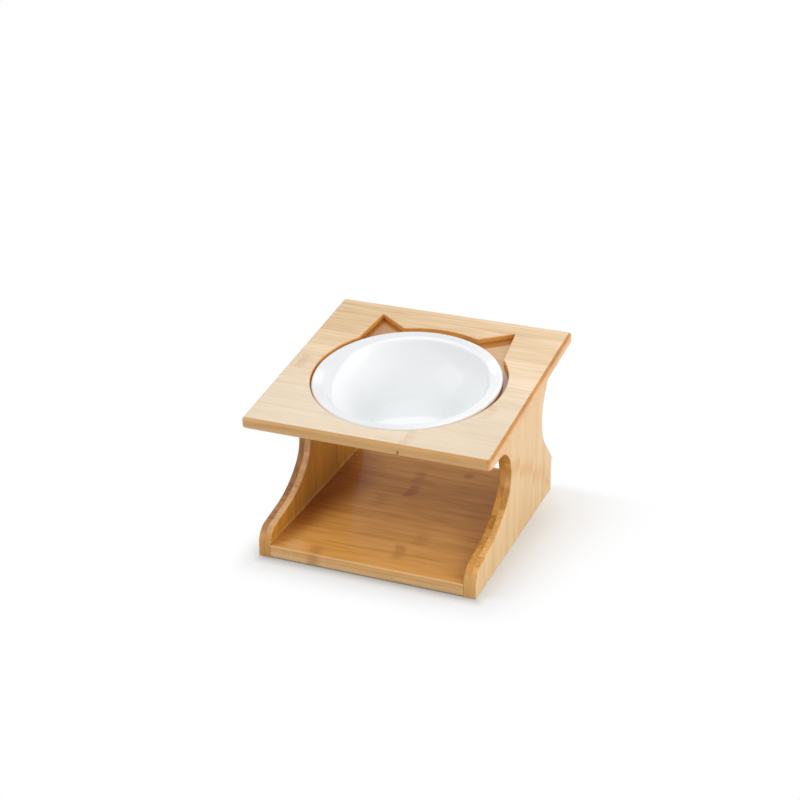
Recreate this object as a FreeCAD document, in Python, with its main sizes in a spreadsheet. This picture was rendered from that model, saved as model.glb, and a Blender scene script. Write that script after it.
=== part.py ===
import FreeCAD, Part
import math
import os

import Sketcher

# A raised pet feeder. A bamboo board slopes down to the front on two side panels with drawn-in waists,
# a base board ties the feet, glued dowels hold the joints, and a glazed bowl hangs loose in the board.
# Millimetres. X runs to the right, Y to the back, Z up. The floor is Z = 0, and the board's middle lies
# over the origin, so the origin is the middle of the overall box on the floor.

SIZES = (
    # Top board: wood left around the bowl's recess, slope, and height of the board's middle above the floor
    ("side_margin", 22.4),
    ("front_margin", 16.6),
    ("back_margin", 28.2),
    ("board_thick", 10.0),
    ("board_tilt", 6.1),
    ("board_rise", 124.6),
    ("board_corner", 2.5),
    ("board_bevel", 1.9),
    # Recess for the bowl: play round the rim and round the wall, and two ears beyond the round
    ("rim_play", 2.6),
    ("wall_play", 2.2),
    ("recess_depth", 5.0),
    ("recess_ease", 0.4),
    ("ear_height", 28.2),
    ("ear_tip_angle", 57.1),
    ("ear_outer_angle", 37.3),
    ("ear_inner_angle", 66.1),
    ("ear_tip_round", 0.9),
    ("ear_foot_round", 2.5),
    # Side panels, set in from the board's edges: feet, waists and heads under the board
    ("side_overhang", 9.9),
    ("front_overhang", 0.3),
    ("back_overhang", 12.4),
    ("panel_thick", 10.2),
    ("foot_front_height", 22.3),
    ("foot_round", 14.0),
    ("instep_drop", 6.6),
    ("instep_sweep", 71.0),
    ("waist_front_depth", 79.3),
    ("waist_front_round", 28.0),
    ("head_front_setback", 31.0),
    ("head_front_depth", 18.0),
    ("head_round", 6.0),
    ("foot_back_height", 31.0),
    ("foot_back_angle", 46.8),
    ("waist_back_depth", 30.2),
    ("head_back_setback", 5.0),
    ("head_back_depth", 12.0),
    ("heel_round", 1.2),
    ("edge_ease", 0.6),
    # Base board
    ("base_thick", 10.0),
    ("base_lift", 0.7),
    # Dowels in their blind holes
    ("dowel_radius", 3.0),
    ("dowel_length", 20.0),
    ("dowel_bite", 6.0),
    ("dowel_chamfer", 0.6),
    ("dowel_gap", 0.1),
    ("dowel_end_gap", 0.5),
    ("top_dowel_inset", 22.0),
    ("base_dowel_inset", 30.0),
    # Bowl: rim lying on the ledge, wall, floor and foot ring
    ("bowl_rim_radius", 75.0),
    ("bowl_lip_round", 2.1),
    ("bowl_rim_width", 10.5),
    ("bowl_band_angle", 14.0),
    ("bowl_brow_drop", 1.1),
    ("bowl_wall_round", 60.0),
    ("bowl_wall", 3.5),
    ("bowl_corner_round", 5.0),
    ("bowl_depth", 35.0),
    ("bowl_floor_radius", 31.0),
    ("bowl_floor_thick", 4.0),
    ("bowl_ring_spread", 5.0),
    ("bowl_ring_width", 4.5),
    ("bowl_ring_height", 2.0),
    ("bowl_ring_round", 0.8),
    ("bowl_side_shift", 1.4),
    ("bowl_front_shift", 1.1),
    ("bowl_seat_gap", 0.2),
)

# Formulas shared by the pieces. The bowl sets the recess and the hole, and these set the board. TILT is
# the board's slope, FRONT and BACK are the faces of the feet, INNER is the inner face of a panel, measured
# from the middle. BROW is how high the bowl's wall reaches above the rim's underside, and RING is the
# outer radius of its foot ring.
TILT = "(sizes.board_tilt * 1 deg)"
BAND = "(sizes.bowl_band_angle * 1 deg)"
BOWL_INNER = "(sizes.bowl_rim_radius - sizes.bowl_rim_width)"
BAND_WIDTH = f"(sizes.bowl_rim_width - sizes.bowl_lip_round * (1 + sin({BAND})))"
BAND_TOP = f"(sizes.bowl_lip_round * (1 + cos({BAND})))"
BROW = f"({BAND_TOP} - {BAND_WIDTH} * tan({BAND}) - sizes.bowl_brow_drop)"
RING = "(sizes.bowl_floor_radius + sizes.bowl_ring_spread)"
RECESS = "(sizes.bowl_rim_radius + sizes.rim_play)"
HOLE = f"({BOWL_INNER} + sizes.bowl_wall + sizes.wall_play)"
SHIFT = "((sizes.back_margin - sizes.front_margin) / 2)"
HALF_WIDTH = f"({RECESS} + sizes.side_margin)"
HALF_DEPTH = f"({RECESS} + (sizes.front_margin + sizes.back_margin) / 2)"
FRONT = f"(sizes.front_overhang - {HALF_DEPTH} * cos({TILT}))"
BACK = f"({HALF_DEPTH} * cos({TILT}) - sizes.back_overhang)"
INNER = f"({HALF_WIDTH} - sizes.side_overhang - sizes.panel_thick)"
HEAD_FRONT = f"({FRONT} + sizes.head_front_setback)"
HEAD_BACK = f"({BACK} - sizes.head_back_setback)"
DOWEL_HOLE = "(sizes.dowel_radius + sizes.dowel_gap)"
SHORT_HOLE = "(sizes.dowel_bite + sizes.dowel_end_gap)"
LONG_HOLE = "(sizes.dowel_length - sizes.dowel_bite + sizes.dowel_end_gap)"

# Numbers by which a sketch names its origin, its axes and the points of a curve
ORIGIN, X_AXIS, Y_AXIS = -1, -1, -2
START, END, CENTRE = range(1, 4)

SIDEWAYS = FreeCAD.Vector(1, 0, 0)
UP = FreeCAD.Vector(0, 0, 1)
# Tests on edges: two places closer than TIGHT are the same, and a direction counts along an axis
# where its share of that axis is over MOSTLY
TIGHT = 1e-4
MOSTLY = 0.5

doc = FreeCAD.newDocument("raised_pet_feeder")
sheet = doc.addObject("Spreadsheet::Sheet", "sizes")
for row, (alias, number) in enumerate(SIZES, start=1):
    sheet.set(f"A{row}", alias.replace("_", " "))
    sheet.set(f"B{row}", str(number))
    sheet.setAlias(f"B{row}", alias)
doc.recompute()


def value(formula):
    """Number that a formula on the sheet gives."""
    result = sheet.evalExpression(formula)
    return float(getattr(result, "Value", result))


def underside(place):
    """Formula for the height of the board's underside at a distance behind the origin."""
    return f"(sizes.board_rise - sizes.board_thick / 2 / cos({TILT}) + {place} * tan({TILT}))"


def point(across, up):
    """Point of a sketch."""
    return FreeCAD.Vector(across, up, 0)


def line(first, last):
    """Straight edge between two sketch points."""
    return Part.LineSegment(first, last)


def arc(centre, radius, from_degrees, to_degrees):
    """Arc that runs counter-clockwise between two directions."""
    circle = Part.Circle(centre, UP, radius)
    return Part.ArcOfCircle(circle, math.radians(from_degrees), math.radians(to_degrees))


def bearing(start, goal):
    """Direction from one sketch point to another, in degrees."""
    return math.degrees(math.atan2(goal.y - start.y, goal.x - start.x))


def new_body(label):
    """Empty body for one sub-part."""
    body = doc.addObject("PartDesign::Body", label)
    body.Label = label
    return body


def lay_on_board(body):
    """Place a body in the board's own frame: middle of the board, sloping with it."""
    body.Placement.Rotation = FreeCAD.Rotation(SIDEWAYS, value(TILT))
    body.setExpression("Placement.Rotation.Angle", TILT)
    body.setExpression("Placement.Base.z", "sizes.board_rise")


def new_sketch(body, name, role, height=None):
    """Sketch on one of the body's origin planes, raised along its normal by a formula."""
    sketch = body.newObject("Sketcher::SketchObject", name)
    plane = [feature for feature in body.Origin.OriginFeatures if feature.Role == role][0]
    sketch.AttachmentSupport = (plane, [""])
    sketch.MapMode = "FlatFace"
    if height is not None:
        sketch.setExpression("AttachmentOffset.Base.z", height)
    return sketch


def bind(sketch, name, kind, places, formula):
    """Dimension of a sketch that follows a formula on the sheet."""
    number = value(formula)
    datum = FreeCAD.Units.Quantity(f"{number} deg") if kind == "Angle" else number
    index = sketch.addConstraint(Sketcher.Constraint(kind, *places, datum))
    sketch.renameConstraint(index, name)
    sketch.setExpression(f"Constraints.{name}", formula)


def join_chain(sketch, chain):
    """Join each pair of sketch points in a list of (curve, end, curve, end)."""
    for places in chain:
        sketch.addConstraint(Sketcher.Constraint("Coincident", *places))


def touch(sketch, *places):
    """Make two sketch curves tangent, at their common end where ends are given."""
    sketch.addConstraint(Sketcher.Constraint("Tangent", *places))


def level(sketch, *curves):
    """Make sketch lines horizontal."""
    for curve in curves:
        sketch.addConstraint(Sketcher.Constraint("Horizontal", curve))


def plumb(sketch, *curves):
    """Make sketch lines vertical."""
    for curve in curves:
        sketch.addConstraint(Sketcher.Constraint("Vertical", curve))


def circles(sketch, spots, radius):
    """Round spots of one radius, at places given as pairs of formulas."""
    for number, (across, up) in enumerate(spots):
        centre = point(value(across), value(up))
        curve = sketch.addGeometry(Part.Circle(centre, UP, value(radius)), False)
        bind(sketch, f"across_{number}", "DistanceX", (ORIGIN, START, curve, CENTRE), across)
        bind(sketch, f"up_{number}", "DistanceY", (ORIGIN, START, curve, CENTRE), up)
        bind(sketch, f"radius_{number}", "Radius", (curve,), radius)


def pad(body, sketch, length, backwards=False):
    """Solid raised from a sketch."""
    feature = body.newObject("PartDesign::Pad", f"{sketch.Name}_pad")
    feature.Profile = sketch
    feature.setExpression("Length", length)
    feature.Reversed = backwards
    doc.recompute()
    return feature


def pocket(body, sketch, depth, backwards=False):
    """Cut sunk from a sketch, which has to take material away."""
    before = body.Shape.Volume
    feature = body.newObject("PartDesign::Pocket", f"{sketch.Name}_cut")
    feature.Profile = sketch
    feature.setExpression("Length", depth)
    feature.Reversed = backwards
    doc.recompute()
    if not body.Shape.Volume < before - TIGHT:
        raise RuntimeError(f"{sketch.Name} cuts nothing")
    return feature


def dress(body, kind, edges, size_name, size):
    """Round or bevel the edges of the body's last feature."""
    if not edges:
        raise RuntimeError(f"{body.Label} has no edges for {size}")
    base = body.Tip
    feature = body.newObject(f"PartDesign::{kind}", f"{body.Name}_{size_name.lower()}_{len(body.Group)}")
    feature.Base = (base, edges)
    feature.setExpression(size_name, size)
    body.Tip = feature
    doc.recompute()
    return feature


def edge_names(shape, chosen):
    """Names of the edges of a shape that a test picks."""
    return [f"Edge{number}" for number, edge in enumerate(shape.Edges, start=1) if chosen(edge)]


def uprights_at(body, axes, spots):
    """Names of the body's edges whose both ends lie at one of the spots, seen along the third axis."""

    def runs_through(edge, spot):
        """Whether both ends of an edge have a spot's two coordinates."""
        return all(
            abs(getattr(vertex.Point, axis) - wanted) < TIGHT
            for vertex in edge.Vertexes
            for axis, wanted in zip(axes, spot)
        )

    return edge_names(body.Tip.Shape, lambda edge: any(runs_through(edge, spot) for spot in spots))


def top_dowel_spots(across):
    """Places of the dowels under the board, as formulas in the board's own frame."""
    first = f"({HEAD_FRONT} + sizes.top_dowel_inset)"
    last = f"({HEAD_BACK} - sizes.top_dowel_inset)"
    return [(across, along) for along in (first, f"(({first} + {last}) / 2)", last)]


def base_dowel_spots():
    """Places of the dowels in the ends of the base board, as formulas."""
    height = "(sizes.base_lift + sizes.base_thick / 2)"
    first = f"({FRONT} + sizes.base_dowel_inset)"
    last = f"({BACK} - sizes.base_dowel_inset)"
    return [(along, height) for along in (first, f"(({first} + {last}) / 2)", last)]


def draw_recess(sketch):
    """Outline of the cut-out: a round with two pointed ears at the back. Returns its corner points."""
    radius = value(RECESS)
    outer = value("sizes.ear_outer_angle")
    inner = value("sizes.ear_inner_angle")
    middle = point(0, -value(SHIFT))
    reach = f"({RECESS} + sizes.ear_height)"

    def on_ray(length, degrees):
        """Point at a distance and direction from the middle of the recess."""
        turn = math.radians(degrees)
        return point(middle.x + length * math.cos(turn), middle.y + length * math.sin(turn))

    tip = value("sizes.ear_tip_angle")
    corners = {
        "right_outer": on_ray(radius, outer),
        "right_tip": on_ray(value(reach), tip),
        "right_inner": on_ray(radius, inner),
        "left_inner": on_ray(radius, 180 - inner),
        "left_tip": on_ray(value(reach), 180 - tip),
        "left_outer": on_ray(radius, 180 - outer),
    }
    front_arc = sketch.addGeometry(arc(middle, radius, 180 - outer, 360 + outer), False)
    right_side = sketch.addGeometry(line(corners["right_outer"], corners["right_tip"]), False)
    right_back = sketch.addGeometry(line(corners["right_tip"], corners["right_inner"]), False)
    back_arc = sketch.addGeometry(arc(middle, radius, inner, 180 - inner), False)
    left_back = sketch.addGeometry(line(corners["left_inner"], corners["left_tip"]), False)
    left_side = sketch.addGeometry(line(corners["left_tip"], corners["left_outer"]), False)
    join_chain(sketch, (
        (front_arc, END, right_side, START),
        (right_side, END, right_back, START),
        (right_back, END, back_arc, START),
        (back_arc, END, left_back, START),
        (left_back, END, left_side, START),
        (left_side, END, front_arc, START),
        (front_arc, CENTRE, back_arc, CENTRE),
    ))
    sketch.addConstraint(Sketcher.Constraint("PointOnObject", front_arc, CENTRE, Y_AXIS))
    sketch.addConstraint(Sketcher.Constraint("Equal", front_arc, back_arc))
    bind(sketch, "shift", "DistanceY", (front_arc, CENTRE, ORIGIN, START), SHIFT)
    bind(sketch, "radius", "Radius", (front_arc,), RECESS)
    for side, sign, outside, inside in (
        ("right", "", right_side, right_back),
        ("left", "-", left_side, left_back),
    ):
        outer_end, tip_end, inner_end = (START, END, END) if side == "right" else (END, START, START)
        for name, curve, end, length, angle in (
            ("outer", outside, outer_end, RECESS, "ear_outer_angle"),
            ("tip", outside, tip_end, reach, "ear_tip_angle"),
            ("inner", inside, inner_end, RECESS, "ear_inner_angle"),
        ):
            formula = f"{sign}{length} * cos(sizes.{angle} * 1 deg)"
            bind(sketch, f"{side}_{name}", "DistanceX", (ORIGIN, START, curve, end), formula)
        height = f"{reach} * sin(sizes.ear_tip_angle * 1 deg) - {SHIFT}"
        bind(sketch, f"{side}_tip_height", "DistanceY", (ORIGIN, START, outside, tip_end), height)
    return corners


def make_top_board():
    """Bevelled board with the ledge and hole for the bowl and blind dowel holes underneath."""
    body = new_body("top_board")
    lay_on_board(body)
    outline = new_sketch(body, "board_outline", "XY_Plane", "-sizes.board_thick / 2")
    half_width, half_depth = value(HALF_WIDTH), value(HALF_DEPTH)
    corners = [point(x * half_width, y * half_depth) for x, y in ((-1, -1), (1, -1), (1, 1), (-1, 1))]
    sides = [outline.addGeometry(line(a, b), False) for a, b in zip(corners, corners[1:] + corners[:1])]
    join_chain(outline, [(a, END, b, START) for a, b in zip(sides, sides[1:] + sides[:1])])
    level(outline, sides[0], sides[2])
    plumb(outline, sides[1], sides[3])
    outline.addConstraint(Sketcher.Constraint("Symmetric", sides[0], START, sides[2], START, ORIGIN, START))
    bind(outline, "width", "DistanceX", (sides[0], START, sides[0], END), f"2 * {HALF_WIDTH}")
    bind(outline, "depth", "DistanceY", (sides[1], START, sides[1], END), f"2 * {HALF_DEPTH}")
    board = pad(body, outline, "sizes.board_thick")
    uprights = edge_names(board.Shape, lambda edge: abs(edge.tangentAt(edge.FirstParameter).z) > MOSTLY)
    rounded = dress(body, "Fillet", uprights, "Radius", "sizes.board_corner")
    half_thick = value("sizes.board_thick / 2")
    rims = edge_names(
        rounded.Shape, lambda edge: all(abs(abs(vertex.Z) - half_thick) < TIGHT for vertex in edge.Vertexes)
    )
    dress(body, "Chamfer", rims, "Size", "sizes.board_bevel")

    recess = new_sketch(body, "recess_outline", "XY_Plane", "sizes.board_thick / 2")
    ear_corners = draw_recess(recess)
    pocket(body, recess, "sizes.recess_depth")
    for corner in ("tip", "outer", "inner"):
        size = "sizes.ear_tip_round" if corner == "tip" else "sizes.ear_foot_round"
        places = [ear_corners[f"{side}_{corner}"] for side in ("left", "right")]
        spots = [(place.x, place.y) for place in places]
        dress(body, "Fillet", uprights_at(body, "xy", spots), "Radius", size)

    hole = new_sketch(body, "bowl_hole", "XY_Plane", "sizes.board_thick / 2")
    middle = point(0, -value(SHIFT))
    ring = hole.addGeometry(Part.Circle(middle, UP, value(HOLE)), False)
    hole.addConstraint(Sketcher.Constraint("PointOnObject", ring, CENTRE, Y_AXIS))
    bind(hole, "shift", "DistanceY", (ring, CENTRE, ORIGIN, START), SHIFT)
    bind(hole, "radius", "Radius", (ring,), HOLE)
    pocket(body, hole, "sizes.board_thick")

    border = 2 * value("sizes.board_bevel")

    def is_inner_rim(edge):
        """Whether an edge bounds the recess on the upper face or the hole on the underside."""
        middle = (edge.FirstParameter + edge.LastParameter) / 2
        spots = [edge.valueAt(edge.FirstParameter), edge.valueAt(middle)]
        on_face = all(abs(abs(spot.z) - half_thick) < TIGHT for spot in spots)
        return on_face and all(
            abs(spot.x) < half_width - border and abs(spot.y) < half_depth - border for spot in spots
        )

    dress(body, "Chamfer", edge_names(body.Tip.Shape, is_inner_rim), "Size", "sizes.recess_ease")

    sockets = new_sketch(body, "board_sockets", "XY_Plane", "-sizes.board_thick / 2")
    panel_middle = f"({INNER} + sizes.panel_thick / 2)"
    circles(sockets, top_dowel_spots(panel_middle) + top_dowel_spots(f"-{panel_middle}"), DOWEL_HOLE)
    pocket(body, sockets, SHORT_HOLE, backwards=True)
    return body


def draw_panel(sketch):
    """Side view of a panel: foot, drawn-in waist and head, front and back. Returns its named corners."""
    front, back = value(FRONT), value(BACK)
    toe = point(front, value("sizes.foot_front_height"))
    head_y = value(HEAD_FRONT)
    chin = point(head_y, value(f"{underside(HEAD_FRONT)} - sizes.head_front_depth"))
    deep = front + value("sizes.waist_front_depth")
    radius = value("sizes.waist_front_round")
    hub = point(deep - radius, chin.y - radius)
    # The instep is flatter by the drop than a straight line that grazes the waist
    run = "(sizes.waist_front_depth - sizes.waist_front_round)"
    chin_height = f"({underside(HEAD_FRONT)} - sizes.head_front_depth)"
    climb_to_hub = f"({chin_height} - sizes.waist_front_round - sizes.foot_front_height)"
    grazing = f"atan2({climb_to_hub}; {run}) - asin(sizes.waist_front_round / hypot({run}; {climb_to_hub}))"
    instep_slope = f"{grazing} - sizes.instep_drop * 1 deg"
    slope = math.radians(value(instep_slope))
    along, across = point(math.cos(slope), math.sin(slope)), point(-math.sin(slope), math.cos(slope))
    sweep_radius = value("sizes.instep_sweep")
    above = sweep_radius - (hub - toe).dot(across)
    reach_back = math.sqrt((sweep_radius - radius)**2 - above**2)
    sweep_low = toe + along * ((hub - toe).dot(along) - reach_back)
    sweep_hub = sweep_low + across * sweep_radius
    turn_angle = bearing(sweep_hub, hub)
    waist_high = point(hub.x, chin.y)

    back_slope = math.radians(value("sizes.foot_back_angle"))
    heel = point(back, value("sizes.foot_back_height"))
    nape_y = value(HEAD_BACK)
    nape = point(nape_y, value(f"{underside(HEAD_BACK)} - sizes.head_back_depth"))
    back_deep = back - value("sizes.waist_back_depth")
    turn = math.tan((math.pi / 2 - back_slope) / 2)
    run = nape.x - back_deep
    climb = nape.y - heel.y - (back - back_deep) * math.tan(back_slope)
    reach = run + turn * climb
    back_radius = (reach - math.sqrt(reach**2 - turn**2 * (run**2 + climb**2))) / turn**2
    back_hub = point(back_deep + back_radius, nape.y - climb + turn * back_radius)
    back_low = point(
        back_hub.x - back_radius * math.sin(back_slope), back_hub.y - back_radius * math.cos(back_slope)
    )
    nape_angle = math.degrees(math.atan2(nape.y - back_hub.y, nape.x - back_hub.x))

    head_front_top = point(head_y, value(underside(HEAD_FRONT)))
    head_back_top = point(nape_y, value(underside(HEAD_BACK)))
    add = sketch.addGeometry
    front_rise = add(line(point(front, 0), toe), False)
    instep = add(line(toe, sweep_low), False)
    sweep = add(arc(sweep_hub, sweep_radius, math.degrees(slope) - 90, turn_angle), False)
    waist = add(arc(hub, radius, turn_angle, 90), False)
    jaw = add(line(waist_high, chin), False)
    head_front = add(line(chin, head_front_top), False)
    seat = add(line(head_front_top, head_back_top), False)
    head_back = add(line(head_back_top, nape), False)
    back_waist = add(arc(back_hub, back_radius, nape_angle, 270 - math.degrees(back_slope)), False)
    back_step = add(line(back_low, heel), False)
    back_rise = add(line(heel, point(back, 0)), False)
    sole = add(line(point(back, 0), point(front, 0)), False)
    join_chain(sketch, (
        (front_rise, END, instep, START),
        (jaw, END, head_front, START),
        (head_front, END, seat, START),
        (seat, END, head_back, START),
        (head_back, END, back_waist, START),
        (back_step, END, back_rise, START),
        (back_rise, END, sole, START),
        (sole, END, front_rise, START),
    ))
    touch(sketch, instep, END, sweep, START)
    touch(sketch, sweep, END, waist, START)
    touch(sketch, waist, END, jaw, START)
    touch(sketch, back_waist, END, back_step, START)
    level(sketch, jaw, sole)
    plumb(sketch, front_rise, head_front, head_back, back_rise)
    sketch.addConstraint(Sketcher.Constraint("PointOnObject", sole, END, X_AXIS))

    front_limit = sketch.addGeometry(line(point(deep, hub.y - radius), point(deep, hub.y + radius)), True)
    back_limit = sketch.addGeometry(line(point(back_deep, heel.y), point(back_deep, nape.y)), True)
    for limit, curve in ((front_limit, waist), (back_limit, back_waist)):
        plumb(sketch, limit)
        touch(sketch, limit, curve)

    bind(sketch, "front_place", "DistanceX", (ORIGIN, START, sole, END), FRONT)
    bind(sketch, "back_place", "DistanceX", (ORIGIN, START, sole, START), BACK)
    bind(sketch, "toe_height", "DistanceY", (front_rise, START, front_rise, END), "sizes.foot_front_height")
    bind(sketch, "instep_angle", "Angle", (instep,), instep_slope)
    bind(sketch, "instep_round", "Radius", (sweep,), "sizes.instep_sweep")
    bind(sketch, "waist_round", "Radius", (waist,), "sizes.waist_front_round")
    bind(sketch, "waist_depth", "DistanceX", (sole, END, front_limit, START), "sizes.waist_front_depth")
    bind(sketch, "head_setback", "DistanceX", (sole, END, head_front, START), "sizes.head_front_setback")
    bind(sketch, "head_depth", "DistanceY", (head_front, START, head_front, END), "sizes.head_front_depth")
    bind(sketch, "seat_front", "DistanceY", (ORIGIN, START, seat, START), underside(HEAD_FRONT))
    bind(sketch, "seat_back", "DistanceY", (ORIGIN, START, seat, END), underside(HEAD_BACK))
    bind(sketch, "nape_setback", "DistanceX", (head_back, START, sole, START), "sizes.head_back_setback")
    bind(sketch, "nape_depth", "DistanceY", (head_back, END, head_back, START), "sizes.head_back_depth")
    bind(sketch, "heel_height", "DistanceY", (back_rise, END, back_rise, START), "sizes.foot_back_height")
    bind(sketch, "heel_slope", "Angle", (back_step,), "-sizes.foot_back_angle * 1 deg")
    bind(sketch, "back_depth", "DistanceX", (back_limit, START, sole, START), "sizes.waist_back_depth")
    return {"toe": toe, "chin": chin, "nape": nape, "heel": heel}


def make_side_panel(label, side):
    """Side panel that stands on the floor, with dowel holes in its top edge and inner face.

    side is 1 for the right panel and -1 for the left one. The panel's own X = 0 is its inner face.
    """
    body = new_body(label)
    body.setExpression("Placement.Base.x", f"{side} * {INNER}")
    outline = new_sketch(body, f"{label}_outline", "YZ_Plane")
    corners = draw_panel(outline)
    pad(body, outline, "sizes.panel_thick", backwards=side < 0)
    for size, *names in (("foot_round", "toe"), ("head_round", "chin"), ("heel_round", "nape", "heel")):
        spots = [(corners[name].x, corners[name].y) for name in names]
        dress(body, "Fillet", uprights_at(body, "yz", spots), "Radius", f"sizes.{size}")

    def is_arris(edge):
        """Whether an edge bounds the inner or outer face along the front or the back."""
        first = edge.valueAt(edge.FirstParameter)
        last = edge.valueAt(edge.LastParameter)
        on_face = abs(first.x - last.x) < TIGHT and abs(edge.tangentAt(edge.FirstParameter).x) < TIGHT
        on_floor = max(first.z, last.z) < TIGHT
        drop = [value(underside(str(spot.y))) - spot.z for spot in (first, last)]
        return on_face and not on_floor and max(drop) > TIGHT

    dress(body, "Fillet", edge_names(body.Tip.Shape, is_arris), "Radius", "sizes.edge_ease")

    top_holes = new_sketch(body, f"{label}_top_sockets", "XY_Plane")
    top_holes.AttachmentOffset.Rotation = FreeCAD.Rotation(SIDEWAYS, value(TILT))
    top_holes.setExpression("AttachmentOffset.Rotation.Angle", TILT)
    half_thick = "sizes.board_thick / 2"
    top_holes.setExpression("AttachmentOffset.Base.y", f"{half_thick} * sin({TILT})")
    top_holes.setExpression("AttachmentOffset.Base.z", f"sizes.board_rise - {half_thick} * cos({TILT})")
    circles(top_holes, top_dowel_spots(f"{side} * sizes.panel_thick / 2"), DOWEL_HOLE)
    pocket(body, top_holes, LONG_HOLE)

    base_holes = new_sketch(body, f"{label}_base_sockets", "YZ_Plane")
    circles(base_holes, base_dowel_spots(), DOWEL_HOLE)
    pocket(body, base_holes, SHORT_HOLE, backwards=side > 0)
    return body


def make_base_board():
    """Board between the feet, with dowel holes in both ends."""
    body = new_body("base_board")
    outline = new_sketch(body, "base_outline", "XY_Plane", "sizes.base_lift")
    half, front, back = value(INNER), value(FRONT), value(BACK)
    corners = [point(-half, front), point(half, front), point(half, back), point(-half, back)]
    sides = [outline.addGeometry(line(a, b), False) for a, b in zip(corners, corners[1:] + corners[:1])]
    join_chain(outline, [(a, END, b, START) for a, b in zip(sides, sides[1:] + sides[:1])])
    level(outline, sides[2])
    plumb(outline, sides[1], sides[3])
    outline.addConstraint(Sketcher.Constraint("Symmetric", sides[0], START, sides[0], END, Y_AXIS))
    bind(outline, "width", "DistanceX", (sides[0], START, sides[0], END), f"2 * {INNER}")
    bind(outline, "front", "DistanceY", (ORIGIN, START, sides[0], START), FRONT)
    bind(outline, "depth", "DistanceY", (sides[1], START, sides[1], END), f"{BACK} - {FRONT}")
    board = pad(body, outline, "sizes.base_thick")
    along_x = edge_names(board.Shape, lambda edge: abs(edge.tangentAt(edge.FirstParameter).x) > MOSTLY)
    dress(body, "Fillet", along_x, "Radius", "sizes.edge_ease")
    for name, side in (("left", -1), ("right", 1)):
        holes = new_sketch(body, f"base_{name}_sockets", "YZ_Plane", f"{side} * {INNER}")
        circles(holes, base_dowel_spots(), DOWEL_HOLE)
        pocket(body, holes, LONG_HOLE, backwards=side < 0)
    return body


def chamfer_dowels(body):
    """Bevel both ends of each dowel in a group."""
    rounds = edge_names(body.Tip.Shape, lambda edge: isinstance(edge.Curve, Part.Circle))
    dress(body, "Chamfer", rounds, "Size", "sizes.dowel_chamfer")


def make_top_dowels(label, side):
    """Dowels that stand in one panel's top edge and bite into the board's underside."""
    body = new_body(label)
    lay_on_board(body)
    spots = new_sketch(body, f"{label}_spots", "XY_Plane", "sizes.dowel_bite - sizes.board_thick / 2")
    circles(spots, top_dowel_spots(f"{side} * ({INNER} + sizes.panel_thick / 2)"), "sizes.dowel_radius")
    pad(body, spots, "sizes.dowel_length", backwards=True)
    chamfer_dowels(body)
    return body


def make_base_dowels(label, side):
    """Dowels that lie in one end of the base board and bite into the panel."""
    body = new_body(label)
    spots = new_sketch(body, f"{label}_spots", "YZ_Plane", f"{side} * ({INNER} + sizes.dowel_bite)")
    circles(spots, base_dowel_spots(), "sizes.dowel_radius")
    pad(body, spots, "sizes.dowel_length", backwards=side > 0)
    chamfer_dowels(body)
    return body


def meeting(first, first_radius, second, second_radius):
    """Sketch point at given distances from two others, on the left of the way from one to the other."""
    ahead = second - first
    gap = ahead.Length
    ahead.normalize()
    along = (gap**2 + first_radius**2 - second_radius**2) / (2 * gap)
    aside = math.sqrt(first_radius**2 - along**2)
    return first + ahead * along + point(-ahead.y, ahead.x) * aside


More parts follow.
